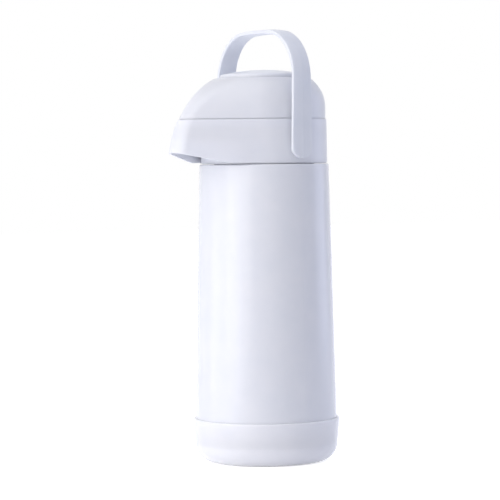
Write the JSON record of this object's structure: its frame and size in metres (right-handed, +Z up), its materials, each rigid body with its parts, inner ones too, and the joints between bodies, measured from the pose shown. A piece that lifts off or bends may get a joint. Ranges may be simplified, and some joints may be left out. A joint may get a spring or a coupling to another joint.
{
  "type": "pump pot",
  "caption": "Glass-lined vacuum flask with a press-button pump head, beaked spout, dip tube, swinging strap handle and screw-on base cap; it dispenses hot drinks.",
  "frame": {"origin": "centre of the base cap's foot, on the surface the pot stands on", "axes": "+Z up along the flask's axis, -Y towards the spout, X along the handle's pivot line"},
  "size_m": [0.1264, 0.157, 0.3726],
  "materials": {
    "jacket_plastic": "glossy moulded polypropylene, cool white",
    "cap_plastic": "glossy moulded polypropylene, cool white",
    "head_plastic": "satin moulded polypropylene, cool white",
    "handle_plastic": "satin moulded polypropylene, cool white",
    "inner_plastic": "natural white polypropylene",
    "clear_tube": "milky polyethylene",
    "bellows_skin": "soft blown polyethylene",
    "silicone": "translucent grey silicone",
    "cushion_rubber": "black moulded rubber",
    "silvered_glass": "blown glass, silvered on the vacuum side",
    "spring_steel": "drawn stainless wire",
    "screw_steel": "zinc plated steel"
  },
  "bodies": {
    "flask": {"outer_jacket": "jacket_plastic", "base_cap": "cap_plastic", "liner_cushion": "cushion_rubber", "liner_outer_glass": "silvered_glass", "liner_inner_glass": "silvered_glass", "liner_mouth_seal": "silicone"},
    "pump_head": {"spout_housing": "head_plastic", "dome_cover": "head_plastic", "pump_base": "inner_plastic", "stopper_seal": "silicone", "housing_screws": "screw_steel", "valve_cage": "inner_plastic", "dip_tube": "clear_tube", "delivery_pipe": "inner_plastic", "spout_nozzle": "inner_plastic", "bellows": "bellows_skin", "bellows_clamp": "inner_plastic", "return_spring": "spring_steel"},
    "button": {"push_button": "head_plastic", "spring_plate": "inner_plastic", "air_inlet_flap": "silicone"},
    "ball": {"check_ball": "spring_steel"},
    "handle": {"carry_handle": "handle_plastic"}
  },
  "joints": [
    {"name": "head_lift", "type": "slide", "parent": "flask", "child": "pump_head", "axis": [0, 0, 1], "range_m": [0, 0.26]},
    {"name": "button_press", "type": "slide", "parent": "pump_head", "child": "button", "axis": [0, 0, -1], "range_m": [0, 0.018], "stiffness_N_per_m": 300, "springref_m": -0.008, "deforming": ["bellows", "return_spring"]},
    {"name": "handle_swing", "type": "hinge", "parent": "pump_head", "child": "handle", "pos_m": [0, 0, 0.2695], "axis": [1, 0, 0], "range_deg": [-130, 130]},
    {"name": "check_ball_lift", "type": "slide", "parent": "pump_head", "child": "ball", "axis": [0, 0, 1], "range_m": [0, 0.003]}
  ]
}
